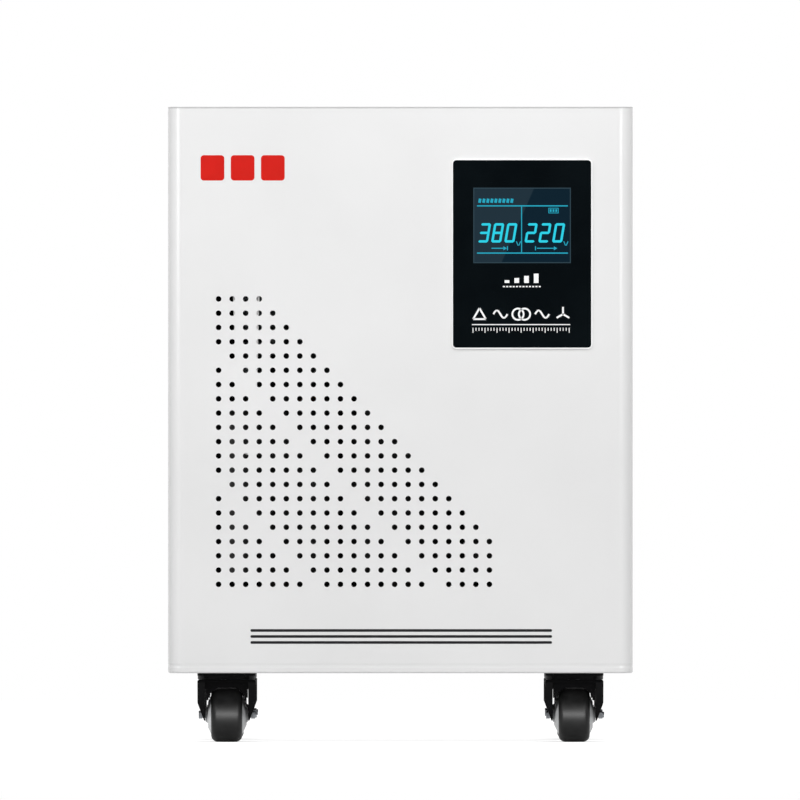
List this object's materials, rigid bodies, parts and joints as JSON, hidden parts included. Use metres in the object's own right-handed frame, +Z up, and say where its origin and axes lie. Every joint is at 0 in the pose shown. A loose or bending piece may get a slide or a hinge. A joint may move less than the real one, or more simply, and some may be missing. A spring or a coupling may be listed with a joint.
{
  "type": "three-phase transformer",
  "caption": "Dry-type three-phase transformer in a white sheet-steel cabinet with a lit display, a triangular field of vent holes and swivel casters.",
  "frame": {"origin": "on the floor under the middle of the cabinet", "axes": "+Z up, -Y towards the front face with the display, +X to the right seen from the front"},
  "size_m": [0.43, 0.364, 0.588],
  "materials": {
    "cabinet_paint": "semi-gloss white powder coat",
    "bezel": "gloss black moulding",
    "display_glass": "clear-fronted dark blue display",
    "display_case": "moulded black case",
    "grommet_rubber": "moulded rubber",
    "lamination_steel": "varnished electrical steel",
    "winding_wire": "varnished copper wire",
    "insulating_board": "pressed insulating board",
    "frame_steel": "grey primer",
    "zinc_fastener": "bright zinc plate",
    "bar_copper": "bare rolled copper",
    "lead_sleeve": "white sleeving",
    "caster_paint": "black electrocoat",
    "wheel_hub": "moulded grey nylon",
    "wheel_tread": "black rubber tread"
  },
  "bodies": {
    "cabinet": {"base_pan": "cabinet_paint", "caster_bolts": "zinc_fastener", "caster_plate_1": "caster_paint", "caster_plate_2": "caster_paint", "caster_plate_3": "caster_paint", "caster_plate_4": "caster_paint", "clamp_bolts": "zinc_fastener", "coil_spacers": "insulating_board", "core": "lamination_steel", "display_housing": "display_case", "display_lead": "lead_sleeve", "display_panel": "bezel", "display_window": "display_glass", "frame_bolts": "zinc_fastener", "front_lower_clamp": "frame_steel", "front_panel": "cabinet_paint", "front_upper_clamp": "frame_steel", "inner_winding_1": "winding_wire", "inner_winding_2": "winding_wire", "inner_winding_3": "winding_wire", "kingpin_1": "zinc_fastener", "kingpin_2": "zinc_fastener", "kingpin_3": "zinc_fastener", "kingpin_4": "zinc_fastener", "left_rail": "frame_steel", "left_side_panel": "cabinet_paint", "load_bars": "bar_copper", "load_board": "insulating_board", "load_grommet": "grommet_rubber", "outer_winding_1": "winding_wire", "outer_winding_2": "winding_wire", "outer_winding_3": "winding_wire", "rear_lower_clamp": "frame_steel", "rear_panel": "cabinet_paint", "rear_screws": "zinc_fastener", "rear_upper_clamp": "frame_steel", "right_rail": "frame_steel", "right_side_panel": "cabinet_paint", "supply_bars": "bar_copper", "supply_board": "insulating_board", "supply_grommet": "grommet_rubber", "terminal_deck": "frame_steel", "terminal_studs": "zinc_fastener", "top_cover": "cabinet_paint"},
    "front_left_fork": {"fork_1": "caster_paint", "axle_1": "zinc_fastener"},
    "front_left_wheel": {"hub_1": "wheel_hub", "tyre_1": "wheel_tread"},
    "front_right_fork": {"fork_2": "caster_paint", "axle_2": "zinc_fastener"},
    "front_right_wheel": {"hub_2": "wheel_hub", "tyre_2": "wheel_tread"},
    "rear_left_fork": {"fork_3": "caster_paint", "axle_3": "zinc_fastener"},
    "rear_left_wheel": {"hub_3": "wheel_hub", "tyre_3": "wheel_tread"},
    "rear_right_fork": {"fork_4": "caster_paint", "axle_4": "zinc_fastener"},
    "rear_right_wheel": {"hub_4": "wheel_hub", "tyre_4": "wheel_tread"}
  },
  "joints": [
    {"name": "front_left_swivel", "type": "hinge", "parent": "cabinet", "child": "front_left_fork", "pos_m": [-0.161, -0.13, 0.0577], "axis": [0, 0, 1], "continuous": true},
    {"name": "front_right_swivel", "type": "hinge", "parent": "cabinet", "child": "front_right_fork", "pos_m": [0.161, -0.13, 0.0577], "axis": [0, 0, 1], "continuous": true},
    {"name": "rear_left_swivel", "type": "hinge", "parent": "cabinet", "child": "rear_left_fork", "pos_m": [-0.161, 0.13, 0.0577], "axis": [0, 0, 1], "continuous": true},
    {"name": "rear_right_swivel", "type": "hinge", "parent": "cabinet", "child": "rear_right_fork", "pos_m": [0.161, 0.13, 0.0577], "axis": [0, 0, 1], "continuous": true},
    {"name": "front_left_roll", "type": "hinge", "parent": "front_left_fork", "child": "front_left_wheel", "pos_m": [-0.161, -0.112, 0.025], "axis": [1, 0, 0], "continuous": true},
    {"name": "front_right_roll", "type": "hinge", "parent": "front_right_fork", "child": "front_right_wheel", "pos_m": [0.161, -0.112, 0.025], "axis": [1, 0, 0], "continuous": true},
    {"name": "rear_left_roll", "type": "hinge", "parent": "rear_left_fork", "child": "rear_left_wheel", "pos_m": [-0.161, 0.148, 0.025], "axis": [1, 0, 0], "continuous": true},
    {"name": "rear_right_roll", "type": "hinge", "parent": "rear_right_fork", "child": "rear_right_wheel", "pos_m": [0.161, 0.148, 0.025], "axis": [1, 0, 0], "continuous": true}
  ]
}
